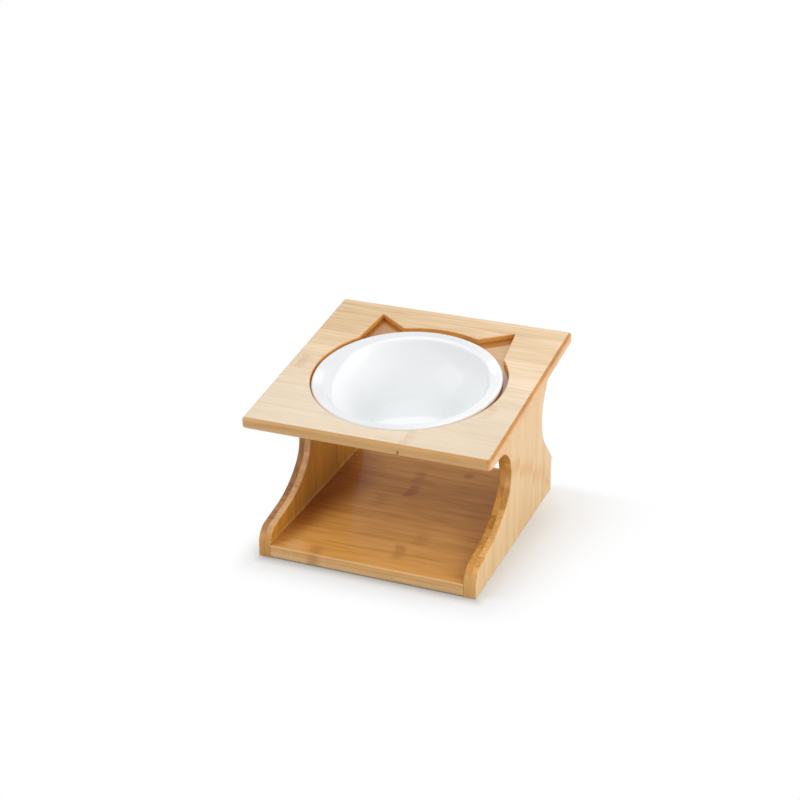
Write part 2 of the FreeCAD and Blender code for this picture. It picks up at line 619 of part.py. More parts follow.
def draw_bowl(sketch):
    """Half section of the bowl. The sketch's origin is the middle of the rim's flat underside."""
    tilt = value("sizes.bowl_band_angle")
    slope = math.radians(tilt)
    band_up = point(-math.sin(slope), math.cos(slope))
    lip = value("sizes.bowl_lip_round")
    lip_hub = point(value("sizes.bowl_rim_radius") - lip, lip)
    band_out = lip_hub + band_up * lip
    depth = value("sizes.bowl_depth")
    round_in = value("sizes.bowl_wall_round")
    round_out = round_in + value("sizes.bowl_wall")
    corner = value("sizes.bowl_corner_round")
    corner_hub = point(value("sizes.bowl_floor_radius"), corner - depth)
    wall_top = point(value(BOWL_INNER), value(BROW))
    hub = meeting(corner_hub, round_in - corner, wall_top, round_in)
    wall_low, wall_high = bearing(hub, corner_hub), bearing(hub, wall_top)
    out = (wall_top - hub) * (1 / round_in)
    brow = (band_out - wall_top).dot(band_up) / (1 + out.dot(band_up))
    brow_hub = wall_top + out * brow
    ring = value(RING)
    ring_in = ring - value("sizes.bowl_ring_width")
    under = -depth - value("sizes.bowl_floor_thick")
    bottom = under - value("sizes.bowl_ring_height")
    ring_top = point(ring, hub.y - math.sqrt(round_out**2 - (ring - hub.x) ** 2))
    neck = point(hub.x + math.sqrt(round_out**2 - hub.y**2), 0)

    add = sketch.addGeometry
    floor = add(line(point(0, -depth), point(corner_hub.x, -depth)), False)
    corner_arc = add(arc(corner_hub, corner, -90, wall_low), False)
    inside = add(arc(hub, round_in, wall_low, wall_high), False)
    brow_arc = add(arc(brow_hub, brow, 90 + tilt, 180 + wall_high), False)
    band = add(line(brow_hub + band_up * brow, band_out), False)
    lip_arc = add(arc(lip_hub, lip, -90, 90 + tilt), False)
    rest = add(line(point(lip_hub.x, 0), neck), False)
    outside = add(arc(hub, round_out, bearing(hub, ring_top), bearing(hub, neck)), False)
    ring_outer = add(line(ring_top, point(ring, bottom)), False)
    ring_sole = add(line(point(ring, bottom), point(ring_in, bottom)), False)
    ring_inner = add(line(point(ring_in, bottom), point(ring_in, under)), False)
    belly = add(line(point(ring_in, under), point(0, under)), False)
    axis = add(line(point(0, under), point(0, -depth)), False)
    join_chain(sketch, (
        (rest, END, outside, END),
        (outside, START, ring_outer, START),
        (ring_outer, END, ring_sole, START),
        (ring_sole, END, ring_inner, START),
        (ring_inner, END, belly, START),
        (belly, END, axis, START),
        (axis, END, floor, START),
        (inside, CENTRE, outside, CENTRE),
    ))
    touch(sketch, floor, END, corner_arc, START)
    touch(sketch, corner_arc, END, inside, START)
    touch(sketch, inside, END, brow_arc, END)
    touch(sketch, brow_arc, START, band, START)
    touch(sketch, band, END, lip_arc, END)
    touch(sketch, lip_arc, START, rest, START)
    level(sketch, floor, ring_sole, belly)
    plumb(sketch, ring_outer, ring_inner)
    for curve_end in ((axis, START), (axis, END)):
        sketch.addConstraint(Sketcher.Constraint("PointOnObject", *curve_end, Y_AXIS))
    for curve_end in ((rest, START), (rest, END)):
        sketch.addConstraint(Sketcher.Constraint("PointOnObject", *curve_end, X_AXIS))

    bind(sketch, "lip", "Radius", (lip_arc,), "sizes.bowl_lip_round")
    rim = "sizes.bowl_rim_radius - sizes.bowl_lip_round"
    bind(sketch, "rim", "DistanceX", (ORIGIN, START, lip_arc, CENTRE), rim)
    bind(sketch, "band_slope", "Angle", (band,), BAND)
    bind(sketch, "inner", "DistanceX", (ORIGIN, START, inside, END), BOWL_INNER)
    bind(sketch, "brow", "DistanceY", (ORIGIN, START, inside, END), BROW)
    bind(sketch, "wall_round", "Radius", (inside,), "sizes.bowl_wall_round")
    bind(sketch, "wall", "Radius", (outside,), "sizes.bowl_wall_round + sizes.bowl_wall")
    bind(sketch, "corner", "Radius", (corner_arc,), "sizes.bowl_corner_round")
    bind(sketch, "floor_radius", "DistanceX", (ORIGIN, START, floor, END), "sizes.bowl_floor_radius")
    bind(sketch, "depth", "DistanceY", (floor, START, ORIGIN, START), "sizes.bowl_depth")
    bind(sketch, "floor_thick", "DistanceY", (axis, START, axis, END), "sizes.bowl_floor_thick")
    bind(sketch, "ring", "DistanceX", (ORIGIN, START, ring_sole, START), RING)
    bind(sketch, "ring_width", "DistanceX", (ring_sole, END, ring_sole, START), "sizes.bowl_ring_width")
    bind(sketch, "ring_height", "DistanceY", (ring_inner, START, ring_inner, END), "sizes.bowl_ring_height")
    return bottom


def make_bowl():
    """Turned bowl whose rim lies on the ledge, slid to the front left of the recess."""
    body = new_body("bowl")
    along = f"(-{SHIFT} - sizes.bowl_front_shift)"
    above = "(sizes.board_thick / 2 - sizes.recess_depth + sizes.bowl_seat_gap)"
    lay_on_board(body)
    body.setExpression("Placement.Base.x", "-sizes.bowl_side_shift")
    height = f"{along} * sin({TILT}) + {above} * cos({TILT})"
    body.setExpression("Placement.Base.y", f"{along} * cos({TILT}) - {above} * sin({TILT})")
    body.setExpression("Placement.Base.z", f"sizes.board_rise + {height}")
    section = new_sketch(body, "bowl_section", "XZ_Plane")
    bottom = draw_bowl(section)
    turned = body.newObject("PartDesign::Revolution", "bowl_turned")
    turned.Profile = section
    turned.ReferenceAxis = (section, ["V_Axis"])
    turned.Angle = 360
    doc.recompute()
    feet = edge_names(
        turned.Shape, lambda edge: all(abs(vertex.Z - bottom) < TIGHT for vertex in edge.Vertexes)
    )
    dress(body, "Fillet", feet, "Radius", "sizes.bowl_ring_round")
    return body


def check(bodies):
    """Stop if an object of the document failed or a sub-part has no sound shape."""
    for item in doc.Objects:
        if {"Invalid", "Error"} & set(item.State):
            raise RuntimeError(f"{item.Name} failed: {item.State}")
    for body in bodies:
        if body.Shape.isNull() or not body.Shape.isValid():
            raise RuntimeError(f"{body.Label} has no sound shape")


sub_parts = [
    make_top_board(),
    make_side_panel("left_side_panel", -1),
    make_side_panel("right_side_panel", 1),
    make_base_board(),
    make_bowl(),
    make_top_dowels("left_top_dowels", -1),
    make_top_dowels("right_top_dowels", 1),
    make_base_dowels("left_base_dowels", -1),
    make_base_dowels("right_base_dowels", 1),
]
doc.recompute()
check(sub_parts)
os.makedirs("parts", exist_ok=True)
for sub_part in sub_parts:
    sub_part.Shape.exportStep(f"parts/{sub_part.Label}.step")
    box = sub_part.Shape.BoundBox
    print(
        f"{sub_part.Label}: {len(sub_part.Shape.Solids)} solid(s), "
        f"X {box.XMin:.2f} to {box.XMax:.2f}, Y {box.YMin:.2f} to {box.YMax:.2f}, "
        f"Z {box.ZMin:.2f} to {box.ZMax:.2f} mm"
    )
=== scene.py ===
"""Dressed model of a raised pet feeder: a lacquered bamboo stand with a loose glazed bowl.

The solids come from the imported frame. Each sub-assembly below gives its own solids their finish, and
the studio sets the floor, the lamps and the camera.
"""

import logging
import math
from dataclasses import dataclass
from enum import Enum
from typing import Any, Union

import bpy
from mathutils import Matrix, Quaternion, Vector


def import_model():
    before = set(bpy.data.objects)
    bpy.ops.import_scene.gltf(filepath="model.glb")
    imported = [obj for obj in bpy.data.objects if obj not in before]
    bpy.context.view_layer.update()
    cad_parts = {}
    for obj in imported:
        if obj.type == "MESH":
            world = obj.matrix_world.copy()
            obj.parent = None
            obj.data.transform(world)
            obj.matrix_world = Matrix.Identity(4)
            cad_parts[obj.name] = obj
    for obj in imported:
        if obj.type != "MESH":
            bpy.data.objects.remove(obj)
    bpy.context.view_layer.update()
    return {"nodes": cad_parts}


LOG = logging.getLogger("feeder")

MM = 0.001

# The sloping board's slope in degrees and the height of its middle. The bowl shares both.
BOARD_TILT = 6.1
BOARD_RISE = 124.6 * MM

# How far outside a board the pattern of its plies starts.
PLY_START = 0.05 * MM

# Cosines between which a broad face turns into a cut edge.
FACE_TO_EDGE = (0.97, 0.85)

CLEAR_IOR = 1.5
BLACK = (0.0, 0.0, 0.0)
WHITE = (1.0, 1.0, 1.0)
EVEN = (1.0, 1.0, 1.0)

Pair = tuple[float, float]
Triple = tuple[float, float, float]
Socket = bpy.types.NodeSocket
Feed = Union[float, Triple, Socket]
Names = tuple[str, ...]


def mm(along: float, across: float, through: float) -> Triple:
    """Gives three sizes in millimetres as metres."""
    return (along * MM, across * MM, through * MM)


def towards(turn: float, height: float) -> Vector:
    """Gives a direction from the feeder.

    Args:
        turn: Degrees from the back towards the right.
        height: Degrees over the floor.

    Returns:
        The direction, one unit long.
    """
    turn, height = math.radians(turn), math.radians(height)
    level = math.cos(height)
    return Vector((math.sin(turn) * level, math.cos(turn) * level, math.sin(height)))


class Grain(Enum):
    """The way a board's grain runs, as the object axes along, across and through its strips."""

    SIDEWAYS = (0, 1, 2)
    UPRIGHT = (2, 1, 0)


class Kind(Enum):
    """What a group's socket carries."""

    VALUE = "NodeSocketFloat"
    VECTOR = "NodeSocketVector"


class Graph:
    """A node tree that is being drawn up, with short calls for the nodes used most."""

    def __init__(self, tree: bpy.types.NodeTree) -> None:
        """Keeps the tree and empties it."""
        self.tree = tree
        tree.nodes.clear()

    def node(self, kind: str, **settings: Any) -> bpy.types.Node:
        """Adds a node.

        Args:
            kind: The node's type, without its "ShaderNode" prefix.
            settings: Properties of the node.

        Returns:
            The node.
        """
        made = self.tree.nodes.new("ShaderNode" + kind)
        for name, value in settings.items():
            setattr(made, name, value)
        return made

    def feed(self, socket: Socket, value: Feed) -> None:
        """Links another socket into a socket, or sets its own value.

        Args:
            socket: The socket that takes the value.
            value: A socket, a number, or three numbers for a vector or a colour.
        """
        if isinstance(value, Socket):
            self.tree.links.new(value, socket)
        elif socket.type == "RGBA":
            socket.default_value = (*value, 1.0)
        else:
            socket.default_value = value

    def fill(self, node: bpy.types.Node, *values: Feed) -> Socket:
        """Feeds a node's inputs in their order.

        Args:
            node: The node.
            values: What its first inputs take.

        Returns:
            Its first output.
        """
        for socket, value in zip(node.inputs, values):
            self.feed(socket, value)
        return node.outputs[0]

    def put(self, node: bpy.types.Node, **inputs: Feed) -> Socket:
        """Feeds a node's inputs by name.

        Args:
            node: The node.
            inputs: What they take, by their names with _ for a space.

        Returns:
            Its first output.
        """
        for name, value in inputs.items():
            self.feed(node.inputs[name.replace("_", " ")], value)
        return node.outputs[0]

    def calc(self, operation: str, *values: Feed) -> Socket:
        """Works out one Math node from its operation and operands."""
        return self.fill(self.node("Math", operation=operation), *values)

    def minus(self, first: Feed, second: Feed) -> Socket:
        """Takes the second number from the first."""
        return self.calc("SUBTRACT", first, second)

    def times(self, first: Feed, second: Feed) -> Socket:
        """Multiplies two numbers."""
        return self.calc("MULTIPLY", first, second)

    def most(self, first: Feed, second: Feed) -> Socket:
        """Gives the larger of two numbers."""
        return self.calc("MAXIMUM", first, second)

    def scaled(self, value: Feed, factor: Feed, offset: Feed) -> Socket:
        """Multiplies a number by a factor and adds an offset."""
        return self.calc("MULTIPLY_ADD", value, factor, offset)

    def rest(self, share: Feed) -> Socket:
        """Gives what a share leaves of 1."""
        return self.minus(1.0, share)

    def ease(self, value: Feed, low: float, high: float) -> Socket:
        """Steps smoothly from 0 at low to 1 at high. High may lie below low, which turns the step round."""
        ends = (low, high, 0.0, 1.0) if low < high else (high, low, 1.0, 0.0)
        return self.fill(self.node("MapRange", interpolation_type="SMOOTHSTEP"), value, *ends)

    def vector(self, operation: str, first: Feed, second: Feed) -> Socket:
        """Works out one Vector Math node from its operation and two vectors."""
        return self.fill(self.node("VectorMath", operation=operation), first, second)

    def length(self, vector: Feed) -> Socket:
        """Gives a vector's length."""
        made = self.node("VectorMath", operation="LENGTH")
        return self.fill(made, vector).node.outputs["Value"]

    def split(self, vector: Feed) -> list[Socket]:
        """Gives the three numbers of a vector."""
        return list(self.fill(self.node("SeparateXYZ"), vector).node.outputs)

    def join(self, *numbers: Feed) -> Socket:
        """Makes a vector of three numbers."""
        return self.fill(self.node("CombineXYZ"), *numbers)

    def ordered(self, vector: Feed, grain: Grain) -> list[Socket]:
        """Gives a vector's numbers along, across and through a grain."""
        axes = self.split(vector)
        return [axes[axis] for axis in grain.value]

    def chance(self, *seeds: Feed) -> bpy.types.Node:
        """Adds a node that draws at random for three whole numbers."""
        made = self.node("TexWhiteNoise", noise_dimensions="3D")
        return self.fill(made, self.join(*seeds)).node

    def noise(self, place: Feed, detail: float, per_metre: Triple = EVEN) -> Socket:
        """Gives soft noise from 0 to 1, with so many octaves and so many features each way."""
        spread = self.vector("MULTIPLY", place, per_metre)
        return self.put(self.node("TexNoise"), Vector=spread, Scale=1.0, Detail=detail)

    def mix(self, share: Feed, first: Feed, second: Feed) -> Socket:
        """Mixes two colours.

        Args:
            share: How much of the second, from 0 to 1.
            first: The first colour.
            second: The second colour.

        Returns:
            The colour.
        """
        made = self.node("Mix", data_type="RGBA")
        colours = [socket for socket in made.inputs if socket.type == "RGBA"]
        self.feed(made.inputs[0], share)
        self.feed(colours[0], first)
        self.feed(colours[1], second)
        return next(socket for socket in made.outputs if socket.type == "RGBA")

    def place(self, group: bpy.types.NodeTree, **inputs: Feed) -> Any:
        """Places a group with its inputs, and gives its outputs by name."""
        return self.put(self.node("Group", node_tree=group), **inputs).node.outputs

    def here(self) -> Socket:
        """Gives the place on the object, in metres."""
        return self.node("TexCoord").outputs["Object"]

    def level(self, tilt: float, pivot: float) -> Socket:
        """Gives the place on an object that slopes by so many degrees about a height, turned level."""
        made = self.node("VectorRotate", rotation_type="X_AXIS")
        return self.put(made, Vector=self.here(), Center=(0.0, 0.0, pivot), Angle=-math.radians(tilt))

    def shown(self) -> Socket:
        """Tells the rays that show the background from those that light the feeder.

        Returns:
            1 for a ray of the camera, of a reflection or through glass, and otherwise 0.
        """
        path = self.node("LightPath").outputs
        seen = self.calc("ADD", path["Is Camera Ray"], path["Is Glossy Ray"])
        return self.calc("MINIMUM", self.calc("ADD", seen, path["Is Transmission Ray"]), 1.0)


class GroupGraph(Graph):
    """A shader node group with named inputs and outputs."""

    def __init__(self, name: str, vectors: Names, values: Names, outputs: Names) -> None:
        """Makes the group and its sockets.

        Args:
            name: The group's name.
            vectors: The inputs that carry vectors.
            values: The inputs that carry values, which follow.
            outputs: The outputs, which all are values.
        """
        super().__init__(bpy.data.node_groups.new(name, "ShaderNodeTree"))
        for labels, way, kind in ((vectors, "INPUT", Kind.VECTOR), (values, "INPUT", Kind.VALUE),
                                  (outputs, "OUTPUT", Kind.VALUE)):
            for label in labels:
                self.tree.interface.new_socket(label, in_out=way, socket_type=kind.value)
        given = self.tree.nodes.new("NodeGroupInput").outputs
        self.inputs = [given[label] for label in (*vectors, *values)]

    def done(self, *results: Socket) -> bpy.types.NodeTree:
        """Feeds the outputs in their order, and gives the group."""
        for socket, result in zip(self.tree.nodes.new("NodeGroupOutput").inputs, results):
            self.feed(socket, result)
        return self.tree


class Effects:
    """The surface effects that the finishes share, each a node group that is built once."""

    # Features per metre along and across the grain, octaves, the noise at which a layer starts and at
    # which it is full, and what is taken off, so that it can both darken and lighten.
    FIBRES = {
        "Fine": (30.0, 900.0, 3.0, 0.3, 0.7, 0.0),
        "Broad": (7.0, 330.0, 3.0, 0.34, 0.66, 0.0),
        "Streak": (12.0, 430.0, 3.0, 0.55, 0.72, 0.0),
        "Drift": (5.0, 110.0, 2.0, 0.3, 0.7, 0.5),
        "Flame": (30.0, 240.0, 4.0, 0.32, 0.68, 0.5),
    }

    def __init__(self) -> None:
        """Builds the groups."""
        self.fibre = self._fibre()
        self.strips = self._strips()
        self.knuckle = self._knuckle()
        self.spot = self._spot()
        self.zone = self._zone()
        self.ripple = self._ripple()

    @classmethod
    def _fibre(cls) -> bpy.types.NodeTree:
        """Draws up the fibres of cut wood: threads, bands, dark streaks, wide drifts and short flames.

        Returns:
            The group. Place is along, across and through the grain, in metres.
        """
        graph = GroupGraph("wood_fibre", ("Place",), (), tuple(cls.FIBRES))
        layers = []
        for along, across, detail, low, high, middle in cls.FIBRES.values():
            noise = graph.noise(graph.inputs[0], detail, (along, across, across))
            layers.append(graph.minus(graph.ease(noise, low, high), middle))
        return graph.done(*layers)

    @staticmethod
    def _strips() -> bpy.types.NodeTree:
        """Draws up strips glued side by side in two plies, each ply staggered from the next.

        Returns:
            The group. Tone and Chance are random for each strip, Middle is where the strip's middle
            lies across the board, Upper is 1 in the upper ply, Seam and Ply Line mark the glue, and
            Shift moves each strip's fibres.
        """
        stagger, seam_half, ply_half, gaps_per_metre, fibre_shift = 0.37, 0.35 * MM, 0.3 * MM, 28.0, 9.0
        gap_step, ply_step, faintest = (0.25, 0.6), (0.98, 1.02), 0.2
        graph = GroupGraph("glued_strips", ("Place",), ("Strip Width", "Seam At", "Ply", "Batch"),
                           ("Tone", "Chance", "Middle", "Upper", "Seam", "Ply Line", "Shift"))
        place, width, seam_at, thick, batch = graph.inputs

        def to_end(share: Socket, whole: Socket) -> Socket:
            """Gives the distance to the nearer end of a whole from a share of it."""
            return graph.times(graph.calc("MINIMUM", share, graph.rest(share)), whole)

        along, across, through = graph.split(place)
        depth = graph.calc("DIVIDE", through, thick)
        ply = graph.calc("FLOOR", depth)
        count = graph.calc("DIVIDE", graph.minus(across, seam_at), width)
        count = graph.calc("ADD", count, graph.times(graph.rest(ply), stagger))
        strip = graph.calc("FLOOR", count)
        inside = graph.minus(count, strip)
        tone, chance, shift = graph.split(graph.chance(strip, ply, batch).outputs["Color"])
        number = graph.calc("FLOOR", graph.calc("ADD", count, 0.5))
        gaps = graph.join(graph.times(along, gaps_per_metre), number, batch)
        seam = graph.times(graph.ease(to_end(inside, width), seam_half, 0.0),
                           graph.ease(graph.noise(gaps, 2.0), *gap_step))
        drawn = graph.chance(number, ply, graph.calc("ADD", batch, 0.5)).outputs["Value"]
        layer = to_end(graph.calc("FRACT", depth), thick)
        middle = graph.scaled(graph.minus(0.5, inside), width, across)
        upper = graph.ease(depth, *ply_step)
        seam = graph.times(seam, graph.scaled(drawn, 1.0 - faintest, faintest))
        line = graph.ease(layer, ply_half, 0.0)
        moved = graph.times(shift, fibre_shift)
        return graph.done(tone, chance, middle, upper, seam, line, moved)

    @staticmethod
    def _knuckle() -> bpy.types.NodeTree:
        """Draws up the mark that a joint of the cane leaves in a strip: a soft bar, darker along one side.

        Returns:
            The group. Along and Across give the mark's middle, Reach its half length along the grain
            and Half Width its reach across it. Wander is how far its line strays and Rim how
            much its dark side shows.
        """
        bow, rim_at, wobbles, patches = 2.0 * MM, 0.4, (18.0, 60.0, 30.0), (45.0, 110.0, 50.0)
        halo_step, rim_step, patch_step, side_step = (1.1, 0.0), (0.35, 0.05), (0.3, 0.7), (1.06, 0.65)
        body_least, body_patch, rim_least, rim_patch = 0.5, 0.3, 0.3, 0.7
        values = ("Along", "Across", "Reach", "Half Width", "Wander", "Rim", "Strength")
        graph = GroupGraph("cane_knuckle", ("Place",), values, ("Mark",))
        place, middle, aside_from, reach, half, wander, dark, strength = graph.inputs
        along, across, _ = graph.split(place)
        aside = graph.calc("DIVIDE", graph.minus(across, aside_from), half)
        drift = graph.times(graph.minus(graph.noise(place, 2.0, wobbles), 0.5), wander)
        arch = graph.times(graph.times(aside, aside), bow)
        off = graph.calc("ADD", graph.minus(along, middle), graph.calc("ADD", drift, arch))
        span = graph.calc("DIVIDE", off, reach)
        halo = graph.ease(graph.calc("ABSOLUTE", span), *halo_step)
        rim = graph.ease(graph.calc("ABSOLUTE", graph.calc("ADD", span, rim_at)), *rim_step)
        patch = graph.ease(graph.noise(place, 3.0, patches), *patch_step)
        body = graph.times(halo, graph.scaled(patch, body_patch, body_least))
        edge = graph.times(graph.times(rim, dark), graph.scaled(patch, rim_patch, rim_least))
        window = graph.ease(graph.calc("ABSOLUTE", aside), *side_step)
        mark = graph.times(graph.most(body, edge), window)
        return graph.done(graph.times(mark, strength))

    @staticmethod
    def _spot() -> bpy.types.NodeTree:
        """Draws up a soft round spot.

        Returns:
            The group. Centre is the spot's middle and Size its half lengths, both like Place.
        """
        graph = GroupGraph("soft_spot", ("Place", "Centre", "Size"), (), ("Mark",))
        place, centre, size = graph.inputs
        away = graph.vector("DIVIDE", graph.vector("SUBTRACT", place, centre), size)
        return graph.done(graph.ease(graph.length(away), 1.0, 0.3))

    @staticmethod
    def _zone() -> bpy.types.NodeTree:
        """Draws up a box with soft sides.

        Returns:
            The group. Middle is the box's middle and Half its half lengths, both like Place. Mark is
            1 inside.
        """
        soft = 1.5 * MM
        graph = GroupGraph("soft_box", ("Place", "Middle", "Half"), (), ("Mark",))
        place, middle, half = graph.inputs
        away = graph.node("VectorMath", operation="ABSOLUTE")
        away = graph.fill(away, graph.vector("SUBTRACT", place, middle))
        first, second, third = graph.split(graph.vector("SUBTRACT", away, half))
        furthest = graph.most(graph.most(first, second), third)
        return graph.done(graph.ease(furthest, soft, -soft))

    @staticmethod
    def _ripple() -> bpy.types.NodeTree:
        """Draws up the slight unevenness of a poured or brushed coat.

        Returns:
            The group. Height is for a bump and Haze adds to the roughness.
        """
        wide = (0.35, 0.35, 0.35)
        graph = GroupGraph("coat_ripple", ("Place",), ("Per Metre",), ("Height", "Haze"))
        place, per_metre = graph.inputs
        place = graph.put(graph.node("VectorMath", operation="SCALE"), Vector=place, Scale=per_metre)
        return graph.done(graph.noise(place, 2.0), graph.noise(place, 3.0, wide))


class MaterialGraph(Graph):
    """A new material with its Principled shader."""

    def __init__(self, name: str, effects: Effects) -> None:
        """Makes the material.

        Args:
            name: Its name.
            effects: The shared node groups.
        """
        self.material = bpy.data.materials.new(name)
        self.material.use_nodes = True
        super().__init__(self.material.node_tree)
        self.effects = effects
        self.shader = self.node("BsdfPrincipled")
        self.surface = self.node("OutputMaterial").inputs["Surface"]
        self.feed(self.surface, self.shader.outputs[0])

    def coat(self, **inputs: Feed) -> None:
        """Feeds the shader's inputs, by their names with _ for a space."""
        self.put(self.shader, **inputs)

    def bump(self, height: Socket, strength: float, distance: float) -> None:
        """Roughens the shader's normal by a relief of so much strength, from 0 to 1, and so much height."""
        made = self.put(self.node("Bump"), Strength=strength, Distance=distance, Height=height)
        self.coat(Normal=made)


@dataclass(frozen=True)
class Knuckle:
    """A mark of a cane joint on a board's face.

    Attributes:
        along: Its middle along the grain.
        across: The middle of its strip.
        strength: How dark it is, where 1 is its full colour.
        reach: Half of its length along the grain.
    """

    along: float
    across: float
    strength: float
    reach: float = 6.0 * MM


@dataclass(frozen=True)
class KnuckleRow:
    """A row of cane joints that steps from strip to strip over a whole panel.

    Attributes:
        along: The row's place along the grain at the panel's middle.
        slope: How far the row moves along the grain for each metre across it.
        scatter: How far a strip's joint strays from the row.
        strength: How dark it is, from 0 to 1.
        reach: Half of a joint's length along the grain.
    """

    along: float
    slope: float
    scatter: float
    strength: float
    reach: float


@dataclass(frozen=True)
class FleckOrPaintedLight:
    """A soft spot of colour: a mark in the wood, a painted shade or a painted highlight.

    Attributes:
        centre, size: Its middle along, across and through the board, and its half lengths.
        colour, share: Its colour, and how strong it is, from 0 to 1.
    """

    centre: Triple
    size: Triple
    colour: Triple
    share: float = 1.0


@dataclass(frozen=True)
class Tint:
    """The colours that the strips of a ply lie between.

    Attributes:
        pale, deep: Colours of the palest and of the darkest strips.
    """

    pale: Triple
    deep: Triple


@dataclass(frozen=True)
class EdgeZone:
    """A box in which the cut edges have colours of their own.

    Attributes:
        tint: The colours.
        middle, half: The box's middle along, across and through the board, and its half lengths.
    """

    tint: Tint
    middle: Triple
    half: Triple


@dataclass(frozen=True)
class PaintedShadeBorder:
    """Painted shade on the ledge along the foot of a routed wall in one of the two ears.

    Attributes:
        side: 1 for the right ear, -1 for the left one. The rest is given for the right ear.
        start: A point of the wall's foot, along, across and through the board.
        inward: The direction from the wall over the ledge, along and across the board.
        width, soft: How far the lacquer reaches, and half the width of its fading side.
        middle, half: Middle and half lengths of the box that it stays in.
        colour, share: The painted shade's colour, and how strong it is, from 0 to 1.
    """

    side: int
    start: Triple
    inward: Pair
    width: float
    middle: Triple = mm(50, 70, 4.0)
    half: Triple = mm(34, 34, 1.6)
    colour: Triple = (0.42, 0.15, 0.015)
    share: float = 0.85
    soft: float = 0.9 * MM

    def mark(self, graph: MaterialGraph, place: Socket) -> Socket:
        """Draws the border.

        Args:
            graph: The material's tree.
            place: The place on the board.

        Returns:
            The mask.
        """
        place = graph.vector("MULTIPLY", place, (self.side, 1.0, 1.0))
        box = graph.place(graph.effects.zone, Place=place, Middle=self.middle, Half=self.half)["Mark"]
        along, across, _ = graph.split(graph.vector("SUBTRACT", place, self.start))
        gap = graph.scaled(along, self.inward[0], graph.times(across, self.inward[1]))
        near = graph.ease(gap, self.width + self.soft, self.width - self.soft)
        return graph.times(graph.times(near, box), self.share)


@dataclass(frozen=True)
class PaintedSheen:
    """A painted sheen that pales a board's face from one place across the grain to another.

    Attributes:
        start, end: Where it starts and where it is strongest.
        colour, share: The pale colour, and how strong it gets, from 0 to 1.
    """

    colour: Triple
    start: float
    end: float
    share: float


@dataclass(frozen=True)
class Plies:
    """The colours of a board's two plies.

    Attributes:
        lower, upper: The lower or left ply, and the upper or right one.
    """

    lower: Tint
    upper: Tint


@dataclass(frozen=True)
class Finish:
    """What a solid is dressed in.

    Attributes:
        name: The material's name.
    """

    name: str

    def material(self, effects: Effects) -> bpy.types.Material:
        """Makes the material.

        Args:
            effects: The shared node groups.

        Returns:
            The material.
        """
        graph = MaterialGraph(self.name, effects)
        self.draw(graph)
        return graph.material

    def draw(self, graph: MaterialGraph) -> None:
        """Draws up the material's tree, which each finish does in its own way."""
        raise NotImplementedError


